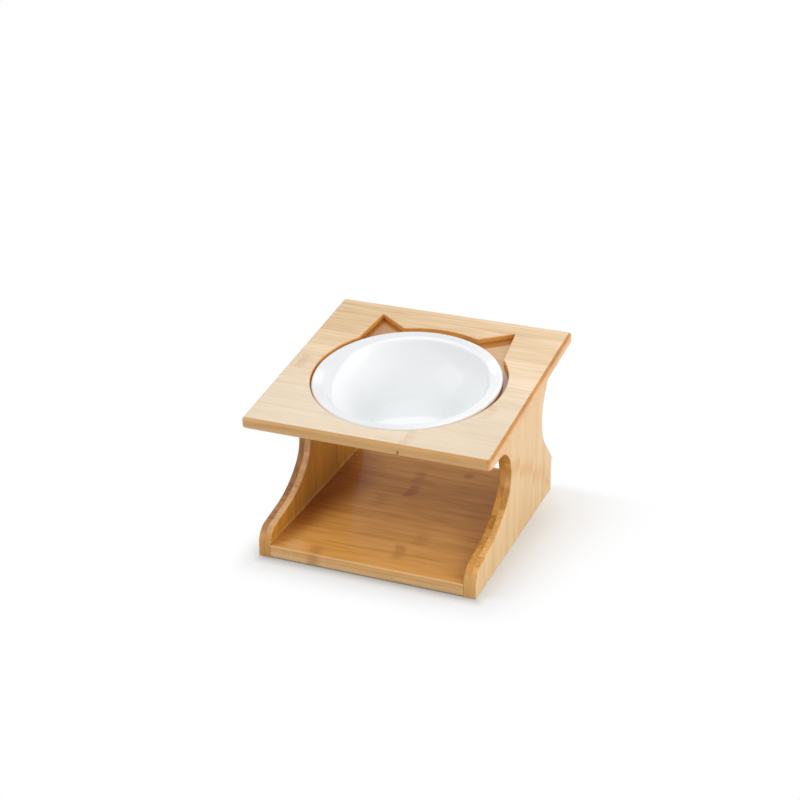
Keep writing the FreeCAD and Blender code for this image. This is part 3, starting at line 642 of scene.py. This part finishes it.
@dataclass(frozen=True)
class BambooFinish(Finish):
    """Bamboo strips glued in two plies under clear lacquer, which darkens the cut edges.

    Attributes:
        grain: The way the grain runs.
        under: Where the lower or left ply starts, along the axis through the board.
        seam_at: Where one seam of the upper ply lies.
        strip_width: Width of a strip.
        batch: A number that picks other strips.
        face, edge: Colours of the broad faces and of the cut edges.
        variety, edge_variety: How much the strips differ on faces and on edges, from 0 to 1.
        tone: The middle strip's place between the deep and the pale colour.
        lift: How much paler the strips in front of that seam are, from 0 to 1.
        threads, bands, streaks, drifts, flames: How much each layer of fibres shows, from 0 to 1.
        tilt, pivot: The board's slope, in degrees, and the height of its mid-plane.
        knuckles, row: Single marks of the cane's joints, and a row of them over the whole panel.
        flecks_and_painted_light: Soft spots: marks in the wood, painted shade and painted highlights.
        zones: Boxes in which the edges have other colours, among them painted light and shade.
        painted_shade_borders: Painted shade along the feet of routed walls.
        painted_sheen: A painted sheen that pales the faces towards one side.
        joint, glue: Colours of the marks and of the glue lines.
        seam_share, ply_share: How much the seams and the line between the plies show, from 0 to 1.
        gloss, edge_haze: Roughness of the lacquer, and how much rougher it is on the edges.
        shine: How strongly the lacquer mirrors, where 0.5 is plain.
        ply: Thickness of a ply.
    """

    grain: Grain
    under: float
    seam_at: float
    strip_width: float
    batch: float
    face: Plies
    edge: Plies
    variety: float = 0.4
    edge_variety: float = 0.9
    tone: float = 0.3
    lift: float = 0.0
    threads: float = 0.25
    bands: float = 0.4
    streaks: float = 0.5
    drifts: float = 0.2
    flames: float = 0.2
    tilt: float = 0.0
    pivot: float = 0.0
    knuckles: tuple[Knuckle, ...] = ()
    row: Union[KnuckleRow, None] = None
    flecks_and_painted_light: tuple[FleckOrPaintedLight, ...] = ()
    zones: tuple[EdgeZone, ...] = ()
    painted_shade_borders: tuple[PaintedShadeBorder, ...] = ()
    painted_sheen: Union[PaintedSheen, None] = None
    joint: Triple = (0.40, 0.16, 0.04)
    glue: Triple = (0.42, 0.20, 0.06)
    seam_share: float = 0.6
    ply_share: float = 0.55
    gloss: float = 0.2
    edge_haze: float = 0.15
    shine: float = 0.5
    ply: float = 5.15 * MM

    def draw(self, graph: MaterialGraph) -> None:
        """Draws up the material.

        Args:
            graph: Its tree.
        """
        effects = graph.effects
        place = self._place(graph)
        strips = graph.place(effects.strips, Place=place, Strip_Width=self.strip_width,
                             Seam_At=self.seam_at, Ply=self.ply, Batch=self.batch)
        shifted = graph.vector("ADD", place, graph.join(strips["Shift"], 0.0, 0.0))
        fibre = graph.place(effects.fibre, Place=shifted)
        cut = self._cut(graph)
        colour = self._body(graph, place, strips, fibre, cut)
        colour = graph.mix(self._marks(graph, place, strips), colour, self.joint)
        # Soft spots: marks in the wood, painted shade and painted highlights.
        for fleck_or_light in self.flecks_and_painted_light:
            spot = graph.place(effects.spot, Place=place, Centre=fleck_or_light.centre, Size=fleck_or_light.size)["Mark"]
            colour = graph.mix(graph.times(spot, fleck_or_light.share), colour, fleck_or_light.colour)
        # Painted shade along the feet of routed walls.
        for border in self.painted_shade_borders:
            mark = graph.times(border.mark(graph, place), graph.rest(cut))
            colour = graph.mix(mark, colour, border.colour)
        haze, pores = 0.08, 0.35
        coat = graph.place(effects.ripple, Place=place, Per_Metre=220.0)
        rough = graph.scaled(coat["Haze"], haze, self.gloss - haze / 2)
        graph.coat(Base_Color=colour, Roughness=graph.scaled(cut, self.edge_haze, rough), IOR=CLEAR_IOR,
                   Specular_IOR_Level=self.shine)
        graph.bump(graph.scaled(fibre["Fine"], pores, coat["Height"]), strength=0.06, distance=0.25 * MM)

    def _place(self, graph: MaterialGraph) -> Socket:
        """Gives the place along, across and through the board, in metres."""
        along, across, through = graph.ordered(graph.level(self.tilt, self.pivot), self.grain)
        return graph.join(along, across, graph.minus(through, self.under))

    def _cut(self, graph: MaterialGraph) -> Socket:
        """Gives 1 on a cut edge and 0 on a broad face."""
        _, _, facing = graph.ordered(graph.node("TexCoord").outputs["Normal"], self.grain)
        return graph.ease(graph.calc("ABSOLUTE", facing), *FACE_TO_EDGE)

    def _marks(self, graph: MaterialGraph, place: Socket, strips: Any) -> Socket:
        """Adds up the marks of the cane's joints.

        Args:
            graph: The material's tree.
            place: The place on the board.
            strips: What the strips' group puts out.

        Returns:
            The mask.
        """
        marks = [
            graph.place(graph.effects.knuckle, Place=place, Along=knuckle.along, Across=knuckle.across,
                        Reach=knuckle.reach, Half_Width=self.strip_width / 2, Wander=9.0 * MM, Rim=1.0,
                        Strength=knuckle.strength)["Mark"]
            for knuckle in self.knuckles
        ]
        if self.row is not None:
            line = graph.scaled(strips["Middle"], self.row.slope, self.row.along)
            stray = graph.times(graph.minus(strips["Chance"], 0.5), self.row.scatter)
            marks.append(graph.place(
                graph.effects.knuckle, Place=place, Along=graph.calc("ADD", line, stray),
                Across=strips["Middle"], Reach=self.row.reach, Half_Width=self.strip_width, Wander=2.0 * MM,
                Rim=0.3, Strength=self.row.strength)["Mark"])
        total = marks[0]
        for mark in marks[1:]:
            total = graph.most(total, mark)
        return total

    def _body(self, graph: MaterialGraph, place: Socket, strips: Any, fibre: Any, cut: Socket) -> Socket:
        """Mixes the strips' colour.

        Args:
            graph: The material's tree.
            place: The place on the board.
            strips: What the strips' group puts out.
            fibre: What the fibres' group puts out.
            cut: 1 on an edge, 0 on a face.

        Returns:
            The colour.
        """
        variety = graph.scaled(cut, self.edge_variety - self.variety, self.variety)
        tone = graph.scaled(graph.minus(strips["Tone"], 0.5), variety, self.tone)
        front = graph.ease(strips["Middle"], self.seam_at, self.seam_at - MM)
        for layer, share in ((fibre["Broad"], self.bands), (fibre["Fine"], self.threads),
                             (fibre["Drift"], self.drifts), (fibre["Flame"], self.flames),
                             (front, self.lift), (fibre["Streak"], -self.streaks)):
            tone = graph.scaled(layer, share, tone)
        zones = [graph.place(graph.effects.zone, Place=place, Middle=zone.middle, Half=zone.half)["Mark"]
                 for zone in self.zones]
        ends = []
        for end in ("deep", "pale"):
            face, edge = (graph.mix(strips["Upper"], getattr(plies.lower, end), getattr(plies.upper, end))
                          for plies in (self.face, self.edge))
            for zone, mark in zip(self.zones, zones):
                edge = graph.mix(mark, edge, getattr(zone.tint, end))
            ends.append(graph.mix(cut, face, edge))
        body = graph.mix(tone, *ends)
        # A painted sheen pales the faces towards one side.
        if self.painted_sheen is not None:
            _, across, _ = graph.split(place)
            share = graph.times(graph.ease(across, self.painted_sheen.start, self.painted_sheen.end), self.painted_sheen.share)
            body = graph.mix(graph.times(share, graph.rest(cut)), body, self.painted_sheen.colour)
        lines = graph.most(graph.times(strips["Seam"], self.seam_share),
                           graph.times(strips["Ply Line"], self.ply_share))
        return graph.mix(lines, body, self.glue)


@dataclass(frozen=True)
class GlazeFinish(Finish):
    """Smooth white glaze, with painted light and shade in its colour.

    Attributes:
        centre: The bowl's axis, along, across and through the board.
        mouth: Radius of the rim's inner brow.
        wall: How far in from the brow the painted light makes the wall lighter.
            shaded_inside, thick: Colours of the inside under painted shade, at the front right, and under
                painted light, at the back left.
        toward_light: How much the way along and the way across count towards the painted light.
            rim_left, rim_right: Colours of the rim, darker on the left as painted shade and lighter on the
                right as painted light.
            brow, wall_share: Colour of painted light that the wall nears at the brow, but not in front, and
                how nearly.
        gloss, shine: Its roughness, and how strongly it mirrors, where 0.5 is plain.
    """

    centre: Triple
    mouth: float
    wall: float
    shaded_inside: Triple = (0.732, 0.757, 0.768)
    thick: Triple = (0.875, 0.89, 0.898)
    toward_light: Pair = (-0.45, 0.9)
    rim_left: Triple = (0.79, 0.805, 0.817)
    rim_right: Triple = (0.935, 0.943, 0.95)
    brow: Triple = (0.965, 0.975, 0.982)
    wall_share: float = 0.6
    gloss: float = 0.07
    shine: float = 0.18

    def draw(self, graph: MaterialGraph) -> None:
        """Draws up the material.

        Args:
            graph: Its tree.
        """
        haze = 0.04
        coat = graph.place(graph.effects.ripple, Place=graph.here(), Per_Metre=60.0)
        rough = graph.scaled(coat["Haze"], haze, self.gloss - haze / 2)
        colour = self._colour(graph)
        graph.coat(Base_Color=colour, Roughness=rough, IOR=CLEAR_IOR, Specular_IOR_Level=self.shine)
        graph.bump(coat["Height"], strength=0.05, distance=0.5 * MM)

    def _colour(self, graph: MaterialGraph) -> Socket:
        """Mixes the glaze's colour, with its painted light and shade, from the rim's and the inside's.

        Args:
            graph: The material's tree.

        Returns:
            The colour.
        """
        away = graph.vector("SUBTRACT", graph.level(BOARD_TILT, BOARD_RISE), self.centre)
        along, across, _ = graph.split(away)
        radius = graph.length(graph.join(along, across, 0.0))
        # Painted light and shade: the inside is lighter towards the back left and darker at the front
        # right.
        toward_light = graph.scaled(along, self.toward_light[0], graph.times(across, self.toward_light[1]))
        inside = graph.mix(graph.ease(toward_light, -self.mouth, self.mouth), self.shaded_inside, self.thick)
        upper = graph.ease(radius, self.mouth - self.wall, self.mouth)
        upper = graph.times(upper, graph.ease(across, -self.mouth, -self.mouth / 3))
        inside = graph.mix(graph.times(upper, self.wall_share), inside, self.brow)
        # Painted shade on the rim's left and painted light on its right.
        rim = graph.mix(graph.ease(along, 0.0, self.mouth), self.rim_left, self.rim_right)
        return graph.mix(graph.ease(radius, self.mouth - MM, self.mouth + MM), inside, rim)


@dataclass(frozen=True)
class DowelFinish(Finish):
    """Bare turned wood.

    Attributes:
        grain: The way the dowels lie.
        pale, deep: Colours of the early and of the late wood.
    """

    grain: Grain
    pale: Triple = (0.72, 0.52, 0.28)
    deep: Triple = (0.52, 0.33, 0.15)

    def draw(self, graph: MaterialGraph) -> None:
        """Draws up the material.

        Args:
            graph: Its tree.
        """
        place = graph.join(*graph.ordered(graph.here(), self.grain))
        fibre = graph.place(graph.effects.fibre, Place=place)
        smooth, haze = 0.55, 0.15
        share = graph.scaled(fibre["Fine"], 0.5, graph.times(fibre["Broad"], 0.5))
        graph.coat(Base_Color=graph.mix(share, self.deep, self.pale),
                   Roughness=graph.scaled(fibre["Fine"], haze, smooth))
        graph.bump(fibre["Fine"], strength=0.2, distance=0.2 * MM)


@dataclass(frozen=True)
class PaperFinish(Finish):
    """White paper with a painted shadow around the feeder's foot, plain white away from the feeder and
    clear from below.

    Attributes:
        left, right, front, back: Where the feeder's foot ends each way.
        white: The paper's colour in the shade.
    """

    left: float = -90.1 * MM
    right: float = 90.1 * MM
    front: float = -99.1 * MM
    back: float = 87.0 * MM
    white: Triple = (0.84, 0.865, 0.885)

    def draw(self, graph: MaterialGraph) -> None:
        """Draws up the material.

        Args:
            graph: Its tree.
        """
        fade, seat, front_start, front_end = (-4 * MM, 42 * MM), (12 * MM, -2 * MM), (-2 * MM, MM), 8 * MM
        seat_depth, front_depth, matt = 0.10, 0.26, 0.9
        away, ahead, aside = self._away(graph)
        # Painted shadow: near the feeder's foot the paper darkens, most just ahead of its front.
        before = graph.times(graph.ease(ahead, *front_start), graph.ease(aside, front_end, 0.0))
        painted_shadow = graph.times(graph.ease(away, *seat), graph.scaled(before, front_depth, seat_depth))
        graph.coat(Base_Color=graph.mix(painted_shadow, self.white, BLACK), Roughness=matt, Specular_IOR_Level=0.0)
        lit = graph.times(graph.ease(away, *fade), graph.shown())
        glow, clear = (graph.node(kind).outputs[0] for kind in ("Emission", "BsdfTransparent"))
        paper = graph.fill(graph.node("MixShader"), lit, graph.shader.outputs[0], glow)
        below = graph.node("NewGeometry").outputs["Backfacing"]
        graph.feed(graph.surface, graph.fill(graph.node("MixShader"), below, paper, clear))

    def _away(self, graph: MaterialGraph) -> tuple[Socket, Socket, Socket]:
        """Tells how far a place on the floor is from the feeder's foot.

        The shade under the foot is drawn out to the right, more so towards the back, and short on the
        left and at the back, so places there count as nearer or further than they are.

        Args:
            graph: The floor's tree.

        Returns:
            The distance, and the parts of it that lie ahead of the foot and beside it.
        """
        stretch, stretch_growth, least_stretch, lit_growth = 2.05, 8.0, 0.8, 1.4
        lit_left, lit_back = mm(-8, 12, 9), mm(-75, 20, 18)
        across, along, _ = graph.split(graph.here())
        stretched = graph.most(graph.scaled(along, stretch_growth, stretch), least_stretch)
        past_right = graph.calc("DIVIDE", graph.most(graph.minus(across, self.right), 0.0), stretched)
        ahead = graph.minus(self.front, along)
        lit = []
        for gap, (early, late, step) in ((graph.minus(self.left, across), lit_left),
                                         (graph.minus(along, self.back), lit_back)):
            beyond = graph.times(graph.ease(gap, early, late), step)
            lit.append(graph.scaled(graph.most(gap, 0.0), lit_growth, beyond))
        sideways = graph.most(past_right, lit[0])
        lengthways = graph.most(graph.most(ahead, 0.0), lit[1])
        return graph.length(graph.join(sideways, lengthways, 0.0)), ahead, sideways


Worn = dict[Names, Finish]


class SubAssembly:
    """Solids of the feeder that are dressed together."""

    def finishes(self) -> Worn:
        """Gives the finish of each set of solids, which each sub-assembly chooses."""
        raise NotImplementedError

    def dress(self, solids: dict[str, bpy.types.Object], effects: Effects) -> None:
        """Gives the solids their finish.

        Args:
            solids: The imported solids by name.
            effects: The shared node groups.
        """
        for names, finish in self.finishes().items():
            material = finish.material(effects)
            for name in names:
                for slot in solids[name].material_slots:
                    slot.material = material
                LOG.info("%s: %s", name, material.name)


@dataclass
class TopBoard(SubAssembly):
    """The sloping board that the bowl hangs in.

    Attributes:
        thick, depth: Its thickness and its length from front to back.
        strip_width, seam_at: Width of its strips, and where one seam of the upper ply lies.
        face, edge: Colours of its faces and of its edges; the upper face is paler partly as painted sheen.
        routed, routed_foot_shade: Colours of the cut-out's walls, lighter than the other edges partly as
            painted light, and painted shade on these walls at the ledge.
        side_bevel, side_foot_shade: Colours of the right side's bevel, and of its lower arris, which is
            painted shade.
        ear_foot, ear_tip: Where the right ear's inner wall starts and where its outer wall ends.
    """

    thick: float = 10.0 * MM
    depth: float = 200.0 * MM
    strip_width: float = 23.8 * MM
    seam_at: float = 21.6 * MM
    face: Plies = Plies(lower=Tint((0.78, 0.46, 0.18), (0.66, 0.36, 0.11)),
                        upper=Tint((0.86, 0.64, 0.385), (0.63, 0.40, 0.178)))
    edge: Plies = Plies(lower=Tint((0.665, 0.37, 0.13), (0.53, 0.27, 0.082)),
                        upper=Tint((0.665, 0.36, 0.115), (0.52, 0.255, 0.066)))
    routed: Tint = Tint((0.92, 0.46, 0.125), (0.74, 0.32, 0.065))
    routed_foot_shade: Tint = Tint((0.38, 0.145, 0.028), (0.29, 0.10, 0.016))
    side_bevel: Tint = Tint((0.56, 0.25, 0.05), (0.42, 0.165, 0.025))
    side_foot_shade: Tint = Tint((0.46, 0.26, 0.125), (0.38, 0.20, 0.09))
    ear_foot: Triple = mm(30.8, 69.5, 0.0)
    ear_tip: Triple = mm(56.5, 87.3, 0.0)

    def finishes(self) -> Worn:
        """Gives the board's finish.

        Returns:
            The finish by the board's name.
        """
        side = self.depth / 2
        finish = BambooFinish(
            "top_bamboo", Grain.SIDEWAYS, under=BOARD_RISE - self.thick / 2 - PLY_START,
            seam_at=self.seam_at, strip_width=self.strip_width, batch=3.0, face=self.face, edge=self.edge,
            tilt=BOARD_TILT, pivot=BOARD_RISE,
            knuckles=(
                Knuckle(-90 * MM, -7 * MM, 0.38),
                Knuckle(78 * MM, -36 * MM, 0.3),
                Knuckle(32 * MM, -87 * MM, 0.28),
            ),
            flecks_and_painted_light=(
                FleckOrPaintedLight((27.5 * MM, -side, 3.5 * MM), mm(1.3, 9.0, 2.6), (0.14, 0.06, 0.02)),
                # Painted shade on the left ear's ledge, on the cut-out's left wall and on the ledge between
                # the rim and the right edge.
                FleckOrPaintedLight(mm(-52, 66, 4.5), mm(26, 26, 3.0), (0.41, 0.175, 0.035), 0.8),
                FleckOrPaintedLight(mm(-70, 32, 6.0), mm(34, 60, 3.8), (0.40, 0.15, 0.025), 0.6),
                FleckOrPaintedLight(mm(75, 22, 4.5), mm(11, 48, 4.0), (0.20, 0.075, 0.012), 0.9),
            ),
            # Painted shade on the ear ledges along the feet of their walls.
            painted_shade_borders=(
                PaintedShadeBorder(1, self.ear_foot, (0.569, -0.822), 12.5 * MM),
                PaintedShadeBorder(-1, self.ear_foot, (0.569, -0.822), 7.5 * MM),
                PaintedShadeBorder(-1, self.ear_tip, (-0.995, -0.097), 7.0 * MM),
            ),
            zones=(
                EdgeZone(self.side_bevel, (side, 0.0, self.thick), (2.8 * MM, self.depth, 2.6 * MM)),
                # Painted shade: a dark line along the right side's lower arris.
                EdgeZone(self.side_foot_shade, (side, 0.0, 0.0), (2.0 * MM, self.depth, 1.2 * MM)),
                # The cut-out's walls, lighter partly as painted light.
                EdgeZone(self.routed, (0.0, 0.0, self.thick / 2), mm(95, 95, 20)),
                # Painted shade where the cut-out's walls meet the ledge.
                EdgeZone(self.routed_foot_shade, (0.0, 0.0, 5.0 * MM), mm(95, 95, 0.6)),
            ),
            # Painted sheen, paler towards the front.
            painted_sheen=PaintedSheen((0.595, 0.535, 0.42), 60 * MM, -60 * MM, 0.5),
            joint=(0.42, 0.19, 0.05), shine=0.7, bands=0.22, drifts=0.2, flames=0.25,
        )
        return {("top_board",): finish}


@dataclass
class SidePanels(SubAssembly):
    """The two panels that the stand rests on.

    Attributes:
        outer, inner: Distances of their outer and of their inner faces from the middle.
        strip_width: Width of their strips.
        outside, inside: Colours of the plies on the outer and on the inner faces, the inner ones darker and
            deeper partly as painted shade under the board.
        outer_edge, inner_edge: Colours of these plies' edges on the right panel, the outer one lighter
            partly as painted light.
        left_outer_edge, left_inner_edge: The same on the left panel, whose outer ply is a darker cane and
            darker still as painted shade.
        foot: Colours of the feet's fronts, a tint of their own as painted light and shade.
        row: The cane joints across each panel.
    """

    outer: float = 90.1 * MM
    inner: float = 79.9 * MM
    strip_width: float = 11.5 * MM
    outside: Tint = Tint((0.84, 0.65, 0.34), (0.68, 0.445, 0.17))
    inside: Tint = Tint((0.83, 0.37, 0.012), (0.48, 0.168, 0.003))
    outer_edge: Tint = Tint((0.84, 0.47, 0.17), (0.60, 0.29, 0.08))
    inner_edge: Tint = Tint((0.74, 0.37, 0.09), (0.46, 0.19, 0.03))
    left_outer_edge: Tint = Tint((0.50, 0.25, 0.10), (0.32, 0.14, 0.05))
    left_inner_edge: Tint = Tint((0.80, 0.48, 0.23), (0.56, 0.30, 0.13))
    foot: Tint = Tint((0.71, 0.40, 0.14), (0.55, 0.268, 0.078))
    row: KnuckleRow = KnuckleRow(63.0 * MM, slope=-0.62, scatter=8.0 * MM, strength=1.0, reach=11.0 * MM)

    def finishes(self) -> Worn:
        """Gives the finish of each panel.

        Returns:
            The finishes by the panels' names.
        """
        # The feet's fronts get a tint of their own as painted light and shade.
        feet = EdgeZone(self.foot, mm(8, -99, 5), mm(12, 12, 20))
        shared = {"seam_at": 1.0 * MM, "strip_width": self.strip_width, "row": self.row, "zones": (feet,),
                  "joint": (0.54, 0.235, 0.03), "shine": 0.22, "drifts": 0.5}
        # A painted reflection: a pale line along the left panel's inner face just above the base.
        painted_reflection_line = FleckOrPaintedLight((13.2 * MM, 0.0, self.outer - self.inner), (1.3 * MM, 1.0, 2.0 * MM),
                              (0.80, 0.50, 0.22), 0.3)
        pale_cane = FleckOrPaintedLight(mm(50, -50, 2.5), mm(16, 18, 4), (0.66, 0.38, 0.17), 0.6)
        left = BambooFinish("left_panel_bamboo", Grain.UPRIGHT, under=-self.outer - PLY_START, batch=5.0,
                            flecks_and_painted_light=(painted_reflection_line, pale_cane), face=Plies(self.outside, self.inside),
                            edge=Plies(self.left_outer_edge, self.left_inner_edge), **shared)
        right = BambooFinish("right_panel_bamboo", Grain.UPRIGHT, under=self.inner - PLY_START, batch=8.0,
                             face=Plies(self.inside, self.outside),
                             edge=Plies(self.inner_edge, self.outer_edge), **shared)
        return {("left_side_panel",): left, ("right_side_panel",): right}


@dataclass
class BaseBoard(SubAssembly):
    """The board between the panels' feet.

    Attributes:
        lift: Height of its underside.
        strip_width, seam_at: Width of its strips, and where one seam of the upper ply lies.
        face, edge: Colours of its faces and of its edges; the upper face is darker and deeper partly as
            painted shade under the top board.
    """

    lift: float = 0.7 * MM
    strip_width: float = 23.8 * MM
    seam_at: float = -36.2 * MM
    face: Plies = Plies(lower=Tint((0.78, 0.46, 0.18), (0.68, 0.36, 0.11)),
                        upper=Tint((0.78, 0.385, 0.095), (0.53, 0.225, 0.04)))
    edge: Plies = Plies(lower=Tint((0.78, 0.49, 0.21), (0.60, 0.34, 0.12)),
                        upper=Tint((0.74, 0.40, 0.14), (0.56, 0.26, 0.07)))

    def finishes(self) -> Worn:
        """Gives the board's finish.

        Returns:
            The finish by the board's name.
        """
        finish = BambooFinish(
            "base_bamboo", Grain.SIDEWAYS, under=self.lift - PLY_START, seam_at=self.seam_at,
            strip_width=self.strip_width, batch=11.0, face=self.face, edge=self.edge, lift=0.12, shine=0.4,
            gloss=0.13, bands=0.3, streaks=0.3, drifts=0.35, flames=0.5,
            knuckles=(
                Knuckle(-8 * MM, 23.3 * MM, 1.3, 7.0 * MM),
                Knuckle(-12 * MM, 47.0 * MM, 0.9, 7.0 * MM),
                Knuckle(-27 * MM, -0.5 * MM, 0.5, 9.0 * MM),
                Knuckle(28 * MM, -48.1 * MM, 0.4, 8.0 * MM),
                Knuckle(18 * MM, -71.9 * MM, 0.7, 7.0 * MM),
                Knuckle(-43 * MM, -95.7 * MM, 0.7, 8.0 * MM),
            ),
            flecks_and_painted_light=(
                FleckOrPaintedLight(mm(25.4, 64.8, 10), mm(7, 6, 9), (0.22, 0.07, 0.015), 0.5),
                # Painted shade on the base beside the left panel.
                FleckOrPaintedLight(mm(-84, 12, 10), mm(50, 95, 30), (0.22, 0.04, 0.0), 0.7),
                FleckOrPaintedLight(mm(-80, -45, 10), mm(24, 60, 30), (0.30, 0.06, 0.0), 0.5),
                # A painted reflection near the front left corner, and a painted highlight along the front
                # arris.
                FleckOrPaintedLight(mm(-62, -90, 10), mm(13, 11, 9), (0.88, 0.58, 0.28), 0.25),
                FleckOrPaintedLight(mm(0, -98.9, 10), mm(1000, 1.6, 1.6), (0.92, 0.66, 0.36), 0.42),
            ),
        )
        return {("base_board",): finish}


@dataclass
class Bowl(SubAssembly):
    """The loose bowl, which hangs in the sloping board.

    Attributes:
        centre: Its axis, along, across and through the board.
        mouth, wall: Radius of the rim's inner brow, and width of the wall inside it, from above, over which
            painted light brightens the glaze.
    """

    centre: Triple = mm(-1.4, -1.1, 0.0)
    mouth: float = 62.0 * MM
    wall: float = 30.0 * MM

    def finishes(self) -> Worn:
        """Gives the bowl's glaze."""
        return {("bowl",): GlazeFinish("white_glaze", self.centre, self.mouth, self.wall)}


@dataclass
class DowelJoints(SubAssembly):
    """The glued dowels inside the stand.

    Attributes:
        upright, sideways: The joints whose dowels stand, and those whose dowels lie.
    """

    upright: Names = ("left_top_dowels", "right_top_dowels")
    sideways: Names = ("left_base_dowels", "right_base_dowels")

    def finishes(self) -> Worn:
        """Gives the wood of the standing and of the lying dowels."""
        return {self.upright: DowelFinish("upright_dowel_wood", Grain.UPRIGHT),
                self.sideways: DowelFinish("sideways_dowel_wood", Grain.SIDEWAYS)}


@dataclass(frozen=True)
class Softbox:
    """A lamp behind a white cloth.

    Attributes:
        name: The lamp's name.
        turn, height: Its direction, in degrees from the back towards the right and over the floor.
        distance: Its distance from the point that it faces.
        width, tall: The size of its cloth.
        radiance: How bright the cloth is, where 1 is white.
    """

    name: str
    turn: float
    height: float
    distance: float
    width: float
    tall: float
    radiance: float

    def build(self, aim: Vector) -> None:
        """Sets the lamp up.

        Args:
            aim: The point that it faces.
        """
        away = towards(self.turn, self.height)
        data = bpy.data.lights.new(self.name, "AREA")
        data.shape = "RECTANGLE"
        data.size, data.size_y = self.width, self.tall
        data.energy = self.radiance * math.pi * self.width * self.tall
        lamp = bpy.data.objects.new(self.name, data)
        lamp.location = aim + away * self.distance
        lamp.rotation_euler = away.to_track_quat("Z", "Y").to_euler()
        bpy.context.scene.collection.objects.link(lamp)
        LOG.info("lamp %s", self.name)


@dataclass
class Studio:
    """The floor, the lamps and the camera.

    Attributes:
        aim: The point that the camera faces.
        turn, height: Its direction, in degrees from the front towards the right and over the floor.
        distance, roll: Its distance from that point, and its roll in degrees.
        lens: Its focal length, in millimetres, on a film 36 mm wide.
        low_light, high_light: How brightly the room lights the feeder, and how much more from above.
        wall_mirrored, roof_mirrored: How bright the room's walls and its roof are in reflections.
        roof_start: The heights, as sines, at which the roof is full and at which it starts.
        floor_size, floor_gap: Half the floor's width, and how far it lies below the feeder.
        lamps, lamp_aim: The lamps, and the point that they face.
    """

    aim: Triple = mm(-7.775, -6.03, 107.45)
    turn: float = 21.95
    height: float = 25.80
    distance: float = 1419.7 * MM
    roll: float = -0.38
    lens: float = 81.26
    low_light: float = 0.06
    high_light: float = 0.95
    wall_mirrored: float = 0.85
    roof_mirrored: float = 0.3
    roof_start: Pair = (0.47, 0.42)
    floor_size: float = 25.0
    floor_gap: float = 0.05 * MM
    lamp_aim: Triple = mm(0, 0, 70)
    lamps: tuple[Softbox, ...] = (
        Softbox("right_softbox", 101.0, 39.0, 1.5, 1.2, 0.8, 1.9),
        Softbox("left_softbox", -120.0, 34.0, 1.5, 1.15, 0.7, 2.5),
        Softbox("back_softbox", -22.0, 40.3, 1.5, 0.7, 0.18, 3.3),
        Softbox("right_reflector", 84.0, 9.0, 1.3, 1.2, 0.5, 4.4),
    )

    def build(self, effects: Effects) -> None:
        """Sets everything up.

        Args:
            effects: The shared node groups.
        """
        self._floor(PaperFinish("white_paper").material(effects))
        self._room()
        for lamp in self.lamps:
            lamp.build(Vector(self.lamp_aim))
        self._camera()

    def _floor(self, paper: bpy.types.Material) -> None:
        """Lays the floor.

        Args:
            paper: Its finish.
        """
        mesh = bpy.data.meshes.new("floor")
        edge = self.floor_size
        corners = [(-edge, -edge, 0.0), (edge, -edge, 0.0), (edge, edge, 0.0), (-edge, edge, 0.0)]
        mesh.from_pydata(corners, [], [(0, 1, 2, 3)])
        floor = bpy.data.objects.new("floor", mesh)
        floor.location.z = -self.floor_gap
        mesh.materials.append(paper)
        bpy.context.scene.collection.objects.link(floor)
        LOG.info("floor")

    def _room(self) -> None:
        """Sets the room's light: plain white to the camera, and a darker room above in reflections."""
        world = bpy.data.worlds.new("room")
        world.use_nodes = True
        bpy.context.scene.world = world
        graph = Graph(world.node_tree)
        sky = graph.node("Background")
        rise = graph.split(graph.node("TexCoord").outputs["Generated"])[2]
        mirrored = graph.scaled(graph.ease(rise, *self.roof_start), self.wall_mirrored - self.roof_mirrored,
                                self.roof_mirrored)
        mirrored = graph.most(mirrored, graph.node("LightPath").outputs["Is Camera Ray"])
        ambient = graph.scaled(graph.most(rise, 0.0), self.high_light, self.low_light)
        level = graph.times(graph.minus(ambient, mirrored), graph.rest(graph.shown()))
        graph.put(sky, Color=WHITE, Strength=graph.calc("ADD", level, mirrored))
        graph.feed(graph.node("OutputWorld").inputs["Surface"], sky.outputs[0])

    def _camera(self) -> None:
        """Sets the camera."""
        away = towards(180.0 - self.turn, self.height)
        data = bpy.data.cameras.new("camera")
        data.lens = self.lens
        data.clip_start, data.clip_end = 0.01, 2 * self.floor_size
        camera = bpy.data.objects.new("camera", data)
        camera.rotation_mode = "QUATERNION"
        camera.location = Vector(self.aim) + away * self.distance
        roll = Quaternion((0.0, 0.0, 1.0), math.radians(self.roll))
        camera.rotation_quaternion = away.to_track_quat("Z", "Y") @ roll
        bpy.context.scene.collection.objects.link(camera)
        bpy.context.scene.camera = camera
        LOG.info("camera")


def main() -> None:
    """Dresses the feeder and sets the studio up."""
    logging.basicConfig(level=logging.INFO, format="%(message)s")
    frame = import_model()
    bpy.context.scene.view_settings.view_transform = "Standard"
    effects = Effects()
    for part in (TopBoard(), SidePanels(), BaseBoard(), Bowl(), DowelJoints()):
        part.dress(frame["nodes"], effects)
    Studio().build(effects)


if __name__ == "__main__":
    main()
